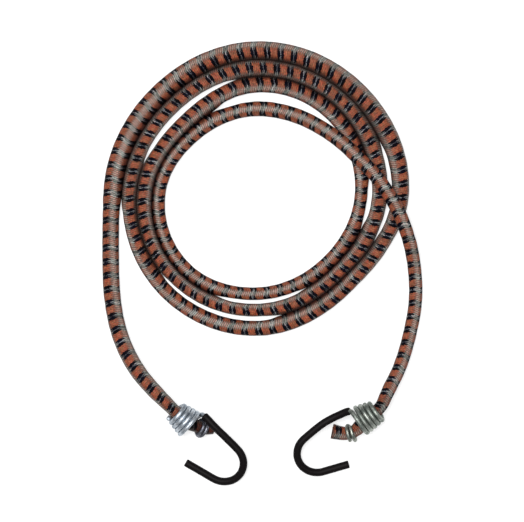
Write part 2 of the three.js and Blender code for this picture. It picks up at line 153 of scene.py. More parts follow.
WIRE_DIAMETER = 2.5
SHOWN_WIRE_DIAMETER = 2.88
COIL_PITCH = 2.92
COIL_CLEARANCE = 0.45
MOUTH_PLAY = 3.25
COIL_BULGE = 0.8
CURL_TURNS = 4.4
COIL_END = -84
BEND_RADIUS = 12.9
LEG_SPLAY = 15.5
SHOULDER_SHARES = [(0.05, -58, 0.15), (0.35, -36, 0.35), (1, -16, 0.8)]
TURN_STEPS = 48
BEND_STEPS = 48
LEG_STEPS = 12
GUIDE_STEPS = 10
COIL_GUIDES = (-9, -5, -1)
BEND_GUIDES = (0, 4)
WIRE_SIDES = 24
ROD_CHAMFER = 0.25

# Sleeve

SLEEVE_START_SHARE = 0.06
SLEEVE_WALL = 0.9
SLEEVE_CLEARANCE = 0.3
SLEEVE_OVERRUN = 1.2
SLEEVE_SIDES = 32
SLEEVE_INSET = 0.05
SLEEVE_UNEVEN = 0.04
SLEEVE_WAVES = (17, 7.3, 4.1)
RIM_PLACES = (0, 0.06, 0.35)
RIM_INSET = 0.28
BORE_FLARE = 0.12

# Crimp ring

RING_WIRE_DIAMETER = 2.2
RING_PITCH = 2.7
RING_CLEARANCE = 0.6
RING_TURNS = 1.3
RING_STEPS = 22
RING_FINE_STEPS = 72
RING_SIDES = 20

# Rubber strands in a cut end: the spacing is in their radii, and the tops reach this far past the end

STRAND_RADIUS = 0.56
STRAND_SIDES = 12
STRAND_SPACING = (2.02, 1.75)
STRAND_SHIFT = 0.07
STRAND_DEPTH = 4
STRAND_TOPS = (-0.55, 0.15)
STRAND_EDGE = 0.12
STRAND_TOP_SHARE = 0.8

# Steels of the wire and the ring: name, colour, colour of the dull patches and least roughness

STEELS = {
    "left": [("zinc_bright", "c6cdd4", "97a1ab", 0.4), ("ring_bright", "83868f", "45454f", 0.34)],
    "right": [("zinc_dull", "a3a8a1", "727a74", 0.42), ("ring_dull", "a9ada4", "757b75", 0.4)],
}

# Sizes that follow

CORD_RADIUS = CORD_DIAMETER / 2
GRIP_RADIUS = GRIP_SHARE * CORD_RADIUS
NECK_RADIUS = NECK_SHARE * CORD_RADIUS
SHEATH_WALL = WALL_SHARE * CORD_DIAMETER
WIRE_RADIUS = WIRE_DIAMETER / 2
SHOWN_WIRE_RADIUS = SHOWN_WIRE_DIAMETER / 2
CURL_LENGTH = CURL_TURNS * COIL_PITCH
NARROW_RADIUS = GRIP_RADIUS + COIL_CLEARANCE + WIRE_RADIUS
WIDE_RADIUS = GRIP_RADIUS + MOUTH_PLAY + WIRE_RADIUS
BORE_RADIUS = WIRE_RADIUS + SLEEVE_CLEARANCE
SLEEVE_RADIUS = BORE_RADIUS + SLEEVE_WALL

# Route of the cord's loops: turn from the left, then shares of the cord's diameter, which give how far it
# lies inside the loops' radius, its thickness and its lift

LOOP_MIDDLE = tuple(share * LOOP_RADIUS for share in (-0.0344, 0.4722))
LOOP_SHARES = [
    (0, -0.0667, 1.18, 0), (0.125, 0.2444, 1.24, 0), (0.25, 0.0222, 1.2, 0), (0.375, 0.1111, 1.24, 0),
    (0.5, 0.1333, 1.04, 0), (0.5625, 0.8, 0.92, 0), (0.625, 1.2556, 0.97, 0), (0.75, 0.8111, 1.01, 0),
    (0.875, 0.8333, 0.95, 0), (1, 1.1222, 0.9, 0), (1.125, 1.5222, 0.94, 0), (1.25, 1.2444, 1.04, 0),
    (1.375, 1.3444, 0.98, 0), (1.5, 1.6556, 0.94, 0), (1.5625, 1.9778, 0.93, 0),
    (1.625, 2.3333, 0.87, 0), (1.75, 2.0667, 0.86, 0), (1.875, 1.9222, 0.85, 0), (2, 2.1444, 0.93, 0),
    (2.125, 2.9, 1.01, 0), (2.25, 2.4, 1.03, 0), (2.375, 2.4333, 0.99, 0), (2.5, 2.8889, 0.86, 0),
    (2.625, 3.3222, 0.88, 0), (2.75, 3.2, 0.85, 0), (2.875, 2.8889, 0.84, 0), (3, 3.2, 0.8, 0),
    (3.125, 3.9889, 0.86, 0), (3.25, 4.0556, 1, 0), (3.3125, 3.9667, 1, 0.1),
    (3.375, 3.6222, 0.97, 0.467), (3.4375, 2.8222, 0.94, 1), (3.46875, 2.0222, 0.92, 1.122),
    (3.5, 1.0222, 0.92, 1.133), (3.53125, -0.1667, 0.91, 1.089),
]
LAST_TURN = LOOP_SHARES[-1][0]

# Routes of the two leads: x and y as shares of the loops' radius, thickness and lift of the cord's
# diameter

LEFT_LEAD_SHARES = [
    (-1.0467, 0.3689, 1.12, 0), (-1.05, 0.2311, 1.12, 0), (-1.05, 0.0222, 1.12, 0),
    (-1.0433, -0.1822, 1.12, 0), (-1.0267, -0.32, 1.1, 0.033), (-0.9956, -0.4578, 1.09, 0.122),
    (-0.9433, -0.5956, 1.08, 0.322), (-0.8644, -0.7333, 1.06, 0.622), (-0.7622, -0.8556, 1, 0.856),
]
RIGHT_LEAD_SHARES = [
    (1.0022, 0.1622, 0.9, 0.8), (1.0233, 0.0822, 0.9, 0.489), (1.0444, -0.0444, 0.9, 0.133),
    (1.0533, -0.1822, 0.9, 0), (1.0444, -0.32, 0.9, 0), (1.0178, -0.4578, 0.9, 0.022),
    (0.9822, -0.5956, 0.9, 0.156), (0.9322, -0.7333, 0.9, 0.411), (0.8811, -0.8333, 0.91, 0.656),
    (0.8433, -0.9089, 0.92, 0.844), (0.8111, -0.9756, 0.93, 0.922),
]

# Fittings. Mouths are in shares of the loops' radius and legs in those of the bend's. Places along a
# coil's axis are in shares of its length, and offsets from it in wire diameters. Rings and tails, by
# reach, side and height, are in cord diameters, and a tail's thickness in shares of what the coil grips.

FITTINGS = {
    "left": {
        "mouth_shares": (-0.5022, -1.1156), "heading": -44.8, "shank_degrees": 1, "way_up": 1,
        "shank_shares": [(0.8562, 0.94), (1.6734, 0.98)], "coil_shift_share": 0.36,
        "bend_reach_share": 2.3817, "bend_top_share": 0.92, "leg_share": 1.5349,
        "bend_in_share": -1.4788, "ring_share": 0.6667, "tail_darkness": 0.85, "lead_darkness": 0.3,
        "tail_shares": [
            (0, 0.1778, 1.0444, 1), (0.3333, 0.3111, 0.8889, 1), (0.6778, 0.4222, 0.6889, 0.96),
            (0.9667, 0.6556, 0.4778, 0.9), (1.2556, 0.9444, 0.3444, 0.84),
        ],
    },
    "right": {
        "mouth_shares": (0.6656, -1.0856), "heading": -149, "shank_degrees": 9, "way_up": -1,
        "shank_shares": [(0.7783, 0.82), (1.5567, 0.98)], "coil_shift_share": 0.24,
        "bend_reach_share": 2.5374, "bend_top_share": 0.14, "leg_share": 1.2868,
        "bend_in_share": -0.7628, "ring_share": 0.9556, "tail_darkness": 0.3, "lead_darkness": 0.6,
        "tail_shares": [
            (0, -0.2, 1.0333, 1), (0.4444, -0.3556, 0.9333, 1), (0.9556, -0.3778, 0.8111, 1),
            (1.4444, -0.1, 0.7333, 1), (1.9889, 0.3889, 0.6889, 1.1),
        ],
    },
}
for fitting in FITTINGS.values():
    fitting["mouth"] = [share * LOOP_RADIUS for share in fitting["mouth_shares"]]
    fitting["coil_shift"] = fitting["coil_shift_share"] * WIRE_DIAMETER
    fitting["shank"] = [
        (along * CURL_LENGTH, WIDE_RADIUS + out * WIRE_DIAMETER) for along, out in fitting["shank_shares"]
    ]
    fitting["bend_reach"] = fitting["bend_reach_share"] * CURL_LENGTH
    fitting["bend_offset"] = WIDE_RADIUS + fitting["bend_top_share"] * WIRE_DIAMETER - BEND_RADIUS
    fitting["leg_length"] = fitting["leg_share"] * BEND_RADIUS
    fitting["bend_in"] = fitting["bend_in_share"] * CURL_LENGTH
    fitting["tail"] = [
        (*(share * CORD_DIAMETER for share in row[:3]), row[3]) for row in fitting["tail_shares"]
    ]
    fitting["ring_place"] = fitting["ring_share"] * CORD_DIAMETER

# Turns between which the cord bulges towards the next loop inside it, and the share of the gap that fills

TOUCHES = [
    (-0.014, 0.445, 1), (0.445, 0.55, 0.4), (0.55, 0.728, 1), (0.885, 1.05, 1), (1.213, 1.478, 1),
    (1.54, 1.683, 1), (1.805, 2.182, 1),
]

# How the braid's main lane lies round the cord: turn along the loops, and degrees from straight up to
# their outside. On the two leads the first number is the distance from the loops' ends.

LANE_TURNS = [
    (0, 46), (0.125, 57), (0.19, 92), (0.25, 100), (0.375, 100), (0.44, 128), (0.47, 140), (0.5, 130),
    (0.55, 118), (0.59, 122), (0.625, 147), (0.69, 148), (0.75, 153), (0.78, 175), (0.81, 181),
    (0.875, 203), (0.94, 215), (1, 232), (1.06, 239), (1.375, 241), (1.5, 246), (1.56, 258), (1.75, 260),
    (1.94, 255), (2, 252), (2.06, 257), (2.125, 265), (2.25, 267), (2.375, 267), (2.5, 282), (2.56, 285),
    (2.69, 296), (2.78, 300), (2.875, 307), (2.94, 315), (3, 327), (3.06, 324), (3.125, 311), (3.19, 300),
    (3.375, 301), (3.5, 306), (3.53, 312),
]
LANE_LEFT = [(20, 44), (54, 34), (70, 26), (84, 18), (110, 7), (150, 0)]
LANE_RIGHT = [(20, 318), (90, 320), (150, 328)]


# Camera, lights and floor

def add_object(name, data):
    thing = bpy.data.objects.new(name, data)
    bpy.context.scene.collection.objects.link(thing)
    return thing


def make_camera():
    data = bpy.data.cameras.new("camera")
    data.sensor_width = SENSOR
    data.lens = SENSOR * (VIEW_HEIGHT - VIEW_LEVEL) / VIEW_SIZE
    data.clip_start, data.clip_end = VIEW_CLIP
    camera = add_object("camera", data)
    camera.location = [value * MM for value in (*VIEW_MIDDLE, VIEW_HEIGHT)]
    bpy.context.scene.camera = camera


def make_area_light(name, place, size, power):
    data = bpy.data.lights.new(name, "AREA")
    data.shape = "DISK"
    data.size = size
    data.energy = power
    light = add_object(name, data)
    light.location = place
    light.rotation_mode = "QUATERNION"
    light.rotation_quaternion = (-Vector(place)).to_track_quat("-Z", "Y")


def make_world():
    world = bpy.data.worlds.new("world")
    world.use_nodes = True
    background = world.node_tree.nodes["Background"]
    background.inputs["Color"].default_value = (1, 1, 1, 1)
    background.inputs["Strength"].default_value = WORLD_LEVEL
    bpy.context.scene.world = world


def make_floor():
    half = FLOOR_SIZE * MM / 2
    mesh = bpy.data.meshes.new("floor")
    corners = [(-half, -half, 0), (half, -half, 0), (half, half, 0), (-half, half, 0)]
    mesh.from_pydata(corners, [], [(0, 1, 2, 3)])
    mesh.materials.append(floor_material())
    floor = add_object("floor", mesh)
    floor.location.z = -FLOOR_DEPTH * MM


# Route of the cord

def between(rows, x, column):
    """Smooth value at x in one column of rows whose first column rises."""
    i = 0
    while i < len(rows) - 2 and rows[i + 1][0] <= x:
        i += 1

    def slope(k):
        before = rows[max(k - 1, 0)]
        after = rows[min(k + 1, len(rows) - 1)]
        return (after[column] - before[column]) / (after[0] - before[0])

    a, b = rows[i], rows[i + 1]
    width = b[0] - a[0]
    t = (x - a[0]) / width
    return (
        a[column] * (1 + 2 * t) * (1 - t) ** 2
        + b[column] * t * t * (3 - 2 * t)
        + slope(i) * width * t * (1 - t) ** 2
        + slope(i + 1) * width * t * t * (t - 1)
    )


def unit(vectors):
    return vectors / np.linalg.norm(vectors, axis=1)[:, None]


def rest_height(share, lift_share):
    return REST_SHARE * CORD_RADIUS * share + lift_share * CORD_DIAMETER


def loop_place(turn):
    share = between(LOOP_SHARES, turn, 2)
    distance = LOOP_RADIUS - between(LOOP_SHARES, turn, 1) * CORD_DIAMETER
    angle = math.pi * (1 - 2 * turn)
    return (
        LOOP_MIDDLE[0] + distance * math.cos(angle),
        LOOP_MIDDLE[1] + distance * math.sin(angle),
        rest_height(share, between(LOOP_SHARES, turn, 3)),
        share,
        turn,
    )


def lie(fitting):
    """Sines of a fitting's pitch and roll, where its coil, bend and leg touch the surface."""
    drop = WIDE_RADIUS + WIRE_RADIUS - SLEEVE_RADIUS
    splay = math.radians(LEG_SPLAY)
    leg = fitting["leg_length"]
    along = fitting["bend_reach"] + BEND_RADIUS * math.sin(splay) - leg * math.cos(splay)
    across = fitting["bend_offset"] - BEND_RADIUS * math.cos(splay) - leg * math.sin(splay)
    pitch = roll = 0
    for _ in range(LIE_ROUNDS):
        roll = (drop - along * pitch) / -across
        lift = BEND_RADIUS * math.hypot(pitch, roll)
        pitch = (drop + fitting["bend_offset"] * roll - lift) / fitting["bend_reach"]
    return pitch, roll


def fitting_axes(fitting):
    """Middle of the coil's wide end, the level pair of axes, and the fitting's own three."""
    heading = math.radians(fitting["heading"])
    pitch, roll = lie(fitting)
    up = np.array([0.0, 0.0, 1.0])
    level_along = np.array([math.cos(heading), math.sin(heading), 0])
    level_across = np.cross(up, level_along) * fitting["way_up"]
    along = level_along * math.sqrt(1 - pitch * pitch) - up * pitch
    raised = np.cross(along, level_across) * fitting["way_up"]
    across = level_across * math.sqrt(1 - roll * roll) + raised * roll
    mouth = np.array([*fitting["mouth"], WIDE_RADIUS + WIRE_RADIUS])
    return mouth, level_along, level_across, along, across, np.cross(along, across)


def tail_places(fitting):
    """Places along the tail, from inside the coil to the cut end."""
    mouth, level_along, level_across, along = fitting_axes(fitting)[:4]
    grip = np.linspace(fitting["bend_in"], -TAIL_GRIP_SHARE * CURL_LENGTH, 3)
    places = [(*(mouth + along * reach), GRIP_SHARE, -1) for reach in grip]
    for reach, side, height, thickness in fitting["tail"]:
        point = mouth + level_along * reach + level_across * side
        places.append((point[0], point[1], height, thickness * GRIP_SHARE, -1))
    return places


def lead_places(rows):
    return [
        (x * LOOP_RADIUS, y * LOOP_RADIUS, rest_height(share, lift), share, -1)
        for x, y, share, lift in rows
    ]


def catmull(points, place):
    """Point of a centripetal Catmull-Rom curve, at a place counted in points."""
    last = len(points) - 1
    i = min(int(place), last - 1)
    t = place - i
    p1, p2 = points[i], points[i + 1]
    p0 = points[i - 1] if i > 0 else 2 * p1 - p2
    p3 = points[i + 2] if i + 2 <= last else 2 * p2 - p1
    d0, d1, d2 = (math.sqrt(np.linalg.norm(b - a)) for a, b in ((p0, p1), (p1, p2), (p2, p3)))
    m1 = d1 * ((p1 - p0) / d0 - (p2 - p0) / (d0 + d1) + (p2 - p1) / d1)
    m2 = d1 * ((p2 - p1) / d1 - (p3 - p1) / (d1 + d2) + (p3 - p2) / d2)
    cubic = 2 * (p1 - p2) + m1 + m2
    square = 3 * (p2 - p1) - 2 * m1 - m2
    return p1 + t * (m1 + t * (square + t * cubic))


def smooth_places(places, start, end):
    points = [np.array(place[:3]) for place in places]
    shares = [(i, place[3]) for i, place in enumerate(places)]
    fine = []
    for i in range(start * FINE_STEPS, end * FINE_STEPS + 1):
        point = catmull(points, i / FINE_STEPS)
        fine.append((*point, between(shares, i / FINE_STEPS, 1), -1))
    return fine


class Route:
    """The whole cord's centreline, from the left cut end to the right one."""

    def __init__(self):
        guide = 1 / LOOP_STEPS
        left = [*tail_places(FITTINGS["left"])[::-1], *lead_places(LEFT_LEAD_SHARES)[::-1]]
        left += [loop_place(0), loop_place(guide)]
        right = [loop_place(LAST_TURN - guide / 2), loop_place(LAST_TURN)]
        right += [*lead_places(RIGHT_LEAD_SHARES), *tail_places(FITTINGS["right"])]
        steps = round(LAST_TURN * CROSSING_STEPS * FINE_STEPS / 2)
        loops = [loop_place(LAST_TURN * i / steps) for i in range(1, steps)]
        left = smooth_places(left, 0, len(left) - 2)
        right = smooth_places(right, 1, len(right) - 1)
        table = np.array(left + loops + right)
        self.points, self.shares, self.turns = table[:, :3], table[:, 3], table[:, 4]
        gaps = np.linalg.norm(np.diff(self.points, axis=0), axis=1)
        self.lengths = np.concatenate([[0], np.cumsum(gaps)])
        self.total = self.lengths[-1]
        on_loops = np.nonzero(self.turns > 0)[0]
        first, last = self.loop_range = on_loops[0], on_loops[-1]
        self.loops_from = self.lengths[first] - LOOP_MARGINS[0]
        self.loops_to = self.lengths[last] + LOOP_MARGINS[1]
        # turns that run on evenly past the loops' ends
        self.steady_turns = self.turns.copy()
        around = 2 * math.pi * LOOP_RADIUS
        self.steady_turns[:first] = (self.lengths[:first] - self.lengths[first]) / around
        self.steady_turns[last + 1:] = LAST_TURN + (self.lengths[last + 1:] - self.lengths[last]) / around
        self.grips = self.grip_rows()

    def grip_rows(self):
        """Lengths, and there how much the cord's colour is darkened and its roundness, which change at the
        fittings.
        """
        left, right = FITTINGS.values()
        left_start, left_end = self.at_fitting(left, 0), self.at_fitting(left, -CURL_LENGTH)
        right_start, right_end = self.at_fitting(right, -CURL_LENGTH), self.at_fitting(right, 0)
        rows = [
            (0, END_DARKNESS, TAIL_ROUND),
            (END_DARK_LENGTH, left["tail_darkness"], TAIL_ROUND),
            (left_start, left["tail_darkness"], TAIL_ROUND),
            (left_end, left["lead_darkness"], GRIP_ROUND),
            (left_end + DARK_FADE_LENGTH, 0, CORD_ROUND),
            (right_start - DARK_FADE_LENGTH, 0, CORD_ROUND),
            (right_start, right["lead_darkness"], GRIP_ROUND),
            (right_end, right["tail_darkness"], TAIL_ROUND),
            (self.total - END_DARK_LENGTH, right["tail_darkness"], TAIL_ROUND),
            (self.total, END_DARKNESS, TAIL_ROUND),
        ]
        return np.array(rows).T

    def at_fitting(self, fitting, reach):
        """Length along the cord where it passes a place on a fitting's axis."""
        mouth, _, _, along = fitting_axes(fitting)[:4]
        offsets = self.points - mouth
        miss = np.abs(offsets @ along - reach)
        far = np.linalg.norm(offsets, axis=1) > 2 * CURL_LENGTH
        miss[far] = np.inf
        return self.lengths[int(np.argmin(miss))]

    def neck_in(self, middle, share):
        away = (self.lengths - middle) / NECK_LENGTH
        self.shares -= (self.shares - share) * np.exp(-(away ** NECK_POWER))

    def point(self, lengths):
        return np.stack([np.interp(lengths, self.lengths, self.points[:, k]) for k in range(3)], axis=-1)

    def frames(self, lengths):
        """Centres, directions, the two section axes and the radii at some lengths."""
        reach = CORD_DIAMETER / 8
        centre = self.point(lengths)
        direction = unit(self.point(lengths + reach) - self.point(lengths - reach))
        over = unit(np.array([0.0, 0.0, 1.0]) - direction * direction[:, 2:])
        right = np.cross(over, direction)
        return centre, direction, over, right, CORD_RADIUS * np.interp(lengths, self.lengths, self.shares)

    def lane(self, lengths):
        """Angle of the braid's main lane round the cord, in degrees."""
        first, last = self.loop_range
        turns = self.turns[first:last + 1]
        rows = [(np.interp(turn, turns, self.lengths[first:last + 1]), lane) for turn, lane in LANE_TURNS]
        rows = [(self.lengths[first] - away, lane) for away, lane in LANE_LEFT[::-1]] + rows
        rows += [(self.lengths[last] + away, lane) for away, lane in LANE_RIGHT]
        places, lanes = np.array(rows).T
        even = np.arange(-EASE_LENGTH, self.total + EASE_LENGTH, NEIGHBOUR_STEP)
        return np.interp(lengths, even, eased(np.interp(even, places, lanes)))

    def pushes(self, lengths):
        """How far the cord is pushed on its right and on its left, to where it touches the next loop, and
        how closely it touches there."""
        even = np.arange(lengths.min(), lengths.max() + NEIGHBOUR_STEP, NEIGHBOUR_STEP)
        centre, direction, _, right, radius = self.frames(even)
        marks = np.arange(0, self.total, NEIGHBOUR_STEP)
        spots, _, _, _, sizes = self.frames(marks)
        away = spots[None] - centre[:, None]
        along = np.einsum("nmk,nk->nm", away, direction)
        aside = np.einsum("nmk,nk->nm", away, right)
        near = (np.abs(along) < NEIGHBOUR_STEP) & (np.abs(away[..., 2]) < CORD_DIAMETER)
        near &= np.abs(marks[None] - even[:, None]) > OWN_REACH
        meeting = np.hypot(aside, away[..., 2]) * radius[:, None] / (radius[:, None] + sizes[None])
        turns = np.interp(even, self.lengths, self.steady_turns)
        fullness = radius * np.interp(even, self.grips[0], self.grips[2])
        result = []
        for sign, shift in ((1, 1), (-1, 0)):
            room = np.where(near & (aside * sign > 0), meeting, NO_TOUCH).min(axis=1)
            push = room - fullness - TOUCH_GAP
            filled = np.zeros(len(even))
            for start, end, share in TOUCHES:
                inside = np.minimum(turns - shift - start, end - turns + shift) / TOUCH_FADE + 0.5
                inside = np.clip(inside, 0, 1)
                filled = np.maximum(filled, share * inside * inside * (3 - 2 * inside))
            filled[push > CORD_RADIUS] = 0
            push = np.where(push < 0, push, push * filled)
            result.append([np.interp(lengths, even, eased(row)) for row in (push, filled)])
        return result


def eased(values):
    """Values at even places along the cord, with their corners rounded off."""
    count = int(EASE_LENGTH / NEIGHBOUR_STEP) // 2 * 2 + 1
    padded = np.pad(values, count // 2, mode="edge")
    window = np.hanning(count + 2)
    return np.convolve(padded, window[1:-1] / window.sum(), mode="valid")


def smooth_noise(x, y, waves, seed):
    """Even noise from -1 to 1 along x, and round y in turns, made of a few waves."""
    random = np.random.default_rng(seed)
    total = np.zeros(np.broadcast(x, y).shape)
    for wave in waves:
        phase = random.uniform(0, 2 * math.pi, 3)
        swing = WAVE_SWING * np.sin(y * 2 * math.pi + phase[1])
        total += np.sin(2 * math.pi * x / wave + phase[0] + swing)
    return total / len(waves)


# Meshes

def mesh_object(name, points, faces, materials, smooth=True):
    mesh = bpy.data.meshes.new(name)
    mesh.from_pydata([tuple(p) for p in np.asarray(points) * MM], [], faces)
    for material in materials:
        mesh.materials.append(material)
    if smooth:
        mesh.shade_smooth()
    return add_object(name, mesh)


def ring_faces(rings, sides, cyclic=False):
    """Faces between rings of points that follow each other, facing out where the rings run anticlockwise
    seen against the way along."""
    faces = []
    for i in range(rings if cyclic else rings - 1):
        a, b = i * sides, (i + 1) % rings * sides
        faces += [(a + k, a + (k + 1) % sides, b + (k + 1) % sides, b + k) for k in range(sides)]
    return faces


def round_points(centres, over, right, radii, angles):
    """Rings of points round the centres, each turned from over towards right."""
    return (
        centres[:, None, :]
        + over[:, None, :] * (radii * np.cos(angles))[..., None]
        + right[:, None, :] * (radii * np.sin(angles))[..., None]
    )


def cord_rings(route, lengths, walls):
    """Rings of the cord's skin, one for each length, set in by its share of the wall, and how much each
    point's colour is darkened: painted shade on its sides and underneath, painted shade where loops touch,
    and darker at the fittings and the cut ends."""
    centre, _, over, right, radius = route.frames(lengths)
    angles = (np.arange(CORD_SIDES) / CORD_SIDES - 0.5) * 2 * math.pi
    x, y = lengths[:, None], angles[None, :] / (2 * math.pi)
    inset = (walls * SHEATH_WALL)[:, None]
    fullness = radius * np.interp(lengths, route.grips[0], route.grips[2])
    radii = fullness[:, None] * (1 + UNEVEN_SHARE * smooth_noise(x, y, UNEVEN_WAVES, SEED))
    radii = radii + SWELL * np.cos(2 * math.pi * (x / PATTERN_PERIOD - SWELL_PHASE)) - inset
    # painted shade: the sides and the underside are darkened in the colour
    shade = np.maximum(np.abs(angles) / math.pi * 2 - SHADE_START, 0) / (1 - SHADE_START)
    shades = np.repeat(SIDE_SHADE * np.minimum(shade, 1)[None, :], len(lengths), axis=0)
    for (push, contact), side in zip(route.pushes(lengths), (np.sin(angles), -np.sin(angles))):
        radii = radii + push[:, None] * np.maximum(side, 0) ** 2
        # painted shade in the crevice on the side where the cord touches the next loop
        crevice_shade = np.clip((side - CREVICE_SHADE_SINE) / (1 - CREVICE_SHADE_SINE), 0, 1) ** CREVICE_SHADE_POWER
        shades = np.maximum(shades, contact[:, None] * crevice_shade)
    # darker at the fittings and the cut ends
    shades = np.maximum(shades, np.interp(lengths, *route.grips[:2])[:, None])
    points = round_points(centre, over, right, radii, angles)
    # it flattens softly where it lies on the surface
    low = REST_GAP + inset
    z = points[..., 2] - low
    lift = 0.5 * (z + np.sqrt(z * z + REST_EASE * REST_EASE))
    points[..., 2] = low + lift - 0.5 * REST_EASE * np.exp(-np.abs(z) / REST_EASE)
    return points, shades


def cord_rows(start, end, cut):
    """Lengths of a cord piece's rings, their shares of the wall, and which of them are at a cut end."""
    lengths = np.linspace(start, end, math.ceil((end - start) / CORD_STEP) + 1)
    walls = np.zeros(len(lengths))
    past, shares = np.array(CUT_RIM).T
    if cut == "start":
        lengths = np.concatenate([start - past[::-1], lengths])
        walls = np.concatenate([shares[::-1], walls])
    if cut == "end":
        lengths = np.concatenate([lengths, end + past])
        walls = np.concatenate([walls, shares])
    return lengths, walls, walls > 0


def cord_piece(name, route, start, end, materials, cut=None):
    """A stretch of the braided cord. A cut end gets a rim and a short bore, for the rubber strands."""
    lengths, walls, lining = cord_rows(start, end, cut)
    rings, shades = cord_rings(route, lengths, walls)
    count = len(rings)
    points = list(rings.reshape(-1, 3))
    faces = ring_faces(count, CORD_SIDES)
    for ring, way in ((0, -1), (count - 1, 1)):
        hub, base = len(points), ring * CORD_SIDES
        points.append(rings[ring].mean(axis=0))
        for k in range(CORD_SIDES):
            faces.append((hub, *(base + k, base + (k + 1) % CORD_SIDES)[::way]))
    thing = mesh_object(name, points, faces, materials)
    mesh = thing.data
    add_braid_map(mesh, lengths, route.lane(lengths))
    # painted shade on the sides, underneath and in the crevices, and the darkening at the fittings and cut
    # ends, kept on the points for the braid's colour
    shade_and_darkening = np.zeros(len(mesh.vertices), np.float32)
    shade_and_darkening[:count * CORD_SIDES] = shades.ravel()
    mesh.attributes.new("shade_and_darkening", "FLOAT", "POINT").data.foreach_set("value", shade_and_darkening)
    # the second material is for the faces at a cut end, and for the cap there
    is_cut = np.append(lining[:-1] & lining[1:], lining[[0, -1]])
    mesh.polygons.foreach_set("material_index", np.repeat(is_cut, CORD_SIDES).astype(np.int32))
    return thing


def add_braid_map(mesh, lengths, lanes):
    """A map of the braid: periods of its pattern along the cord, and turns from the main lane."""
    turns = np.arange(CORD_SIDES + 1) / CORD_SIDES - 0.5
    periods = lengths / PATTERN_PERIOD
    places = turns - lanes[:, None] / 360
    blocks = np.zeros((len(lengths) - 1, CORD_SIDES, 4, 2), np.float32)
    blocks[..., :2, 0] = periods[:-1, None, None]
    blocks[..., 2:, 0] = periods[1:, None, None]
    blocks[..., 0, 1] = places[:-1, :-1]
    blocks[..., 1, 1] = places[:-1, 1:]
    blocks[..., 2, 1] = places[1:, 1:]
    blocks[..., 3, 1] = places[1:, :-1]
    uv = np.zeros((len(mesh.loops), 2), np.float32)
    uv[:blocks.size // 2] = blocks.reshape(-1, 2)
    mesh.uv_layers.new(name="braid").data.foreach_set("uv", uv.ravel())


def rings_along(points, radii, side, sides):
    """Rings of points along a path, twisted as little as can be, with a radius for each ring or point."""
    direction = unit(np.gradient(points, axis=0))
    over = np.zeros_like(points)
    current = np.array(side, float)
    for i in range(len(points)):
        current = current - direction[i] * (current @ direction[i])
        current /= np.linalg.norm(current)
        over[i] = current
    angles = np.arange(sides) / sides * 2 * math.pi
    return round_points(points, over, np.cross(over, direction), radii, angles)


def inward_directions(points):
    """Unit directions from a path's two ends into it."""
    return unit(np.array([points[1] - points[0], points[-2] - points[-1]]))


def rod(name, points, radius, side, sides, materials):
    """A closed round bar along a path, with its ends' edges broken."""
    start, end = inward_directions(points)
    edge = ROD_CHAMFER * radius
    path = [points[0], points[0] + start * edge, *points[1:-1], points[-1] + end * edge, points[-1]]
    radii = np.full((len(path), 1), radius, float)
    radii[0] = radii[-1] = radius * (1 - ROD_CHAMFER)
    rings = rings_along(np.array(path), radii, side, sides)
    faces = ring_faces(len(rings), sides)
    last = (len(rings) - 1) * sides
    faces.append(tuple(range(sides))[::-1])
    faces.append(tuple(range(last, last + sides)))
    return mesh_object(name, rings.reshape(-1, 3), faces, materials)


def wire_path(fitting):
    """Centreline of a wire part, from the coil's narrow end to the hook's tip, and of its sleeve."""
    mouth, _, _, along, across, over = fitting_axes(fitting)

    def place(a, b, c=0.0):
        return mouth + along * a + across * b + over * c

    def round_place(a, degrees, radius, shift):
        angle = math.radians(degrees)
        return place(a, shift + radius * math.cos(angle), radius * math.sin(angle))

    coil = []
    inset = SHOWN_WIRE_RADIUS - WIRE_RADIUS
    steps = round(CURL_TURNS * TURN_STEPS)
    for i in range(steps + 1):
        t = i / steps
        degrees = COIL_END - 360 * CURL_TURNS * (1 - t)
        radius = NARROW_RADIUS + (WIDE_RADIUS - NARROW_RADIUS) * t ** COIL_BULGE - inset
        coil.append(round_place(-CURL_LENGTH * (1 - t), degrees, radius, fitting["coil_shift"] * t))
    bend = []
    splay = math.radians(LEG_SPLAY)
    start, end = math.radians(90 - fitting["shank_degrees"]), -math.radians(90 - LEG_SPLAY)
    for i in range(BEND_STEPS + 1):
        angle = start + (end - start) * i / BEND_STEPS
        side = fitting["bend_offset"] + BEND_RADIUS * math.sin(angle)
        bend.append(place(fitting["bend_reach"] + BEND_RADIUS * math.cos(angle), side))
    # a smooth curve leads from the coil's last turn over the shoulder and the shank into the bend
    guides = [coil[k] for k in COIL_GUIDES]
    coil_end = len(guides) - 1
    for a, degrees, out in SHOULDER_SHARES:
        radius = WIDE_RADIUS + out * WIRE_RADIUS
        guides.append(round_place(a * WIRE_RADIUS, degrees, radius, fitting["coil_shift"]))
    sleeve_start = len(guides) - 1 + SLEEVE_START_SHARE
    guides += [place(*row) for row in fitting["shank"]]
    bend_start = len(guides)
    guides += [bend[k] for k in BEND_GUIDES]
    steps = (bend_start - coil_end) * GUIDE_STEPS
    middle = [catmull(guides, coil_end + i / GUIDE_STEPS) for i in range(1, steps)]
    leg = -along * math.cos(splay) - across * math.sin(splay)
    length = fitting["leg_length"] - SLEEVE_OVERRUN
    tip = [bend[-1] + leg * length * i / LEG_STEPS for i in range(1, LEG_STEPS + 1)]
    wire = np.array([*coil, *middle, *bend, *tip])
    sleeve_from = len(coil) + round((sleeve_start - coil_end) * GUIDE_STEPS) - 1
    sleeve = np.array([*wire[sleeve_from:], wire[-1] + leg * SLEEVE_OVERRUN])
    return wire, sleeve, over


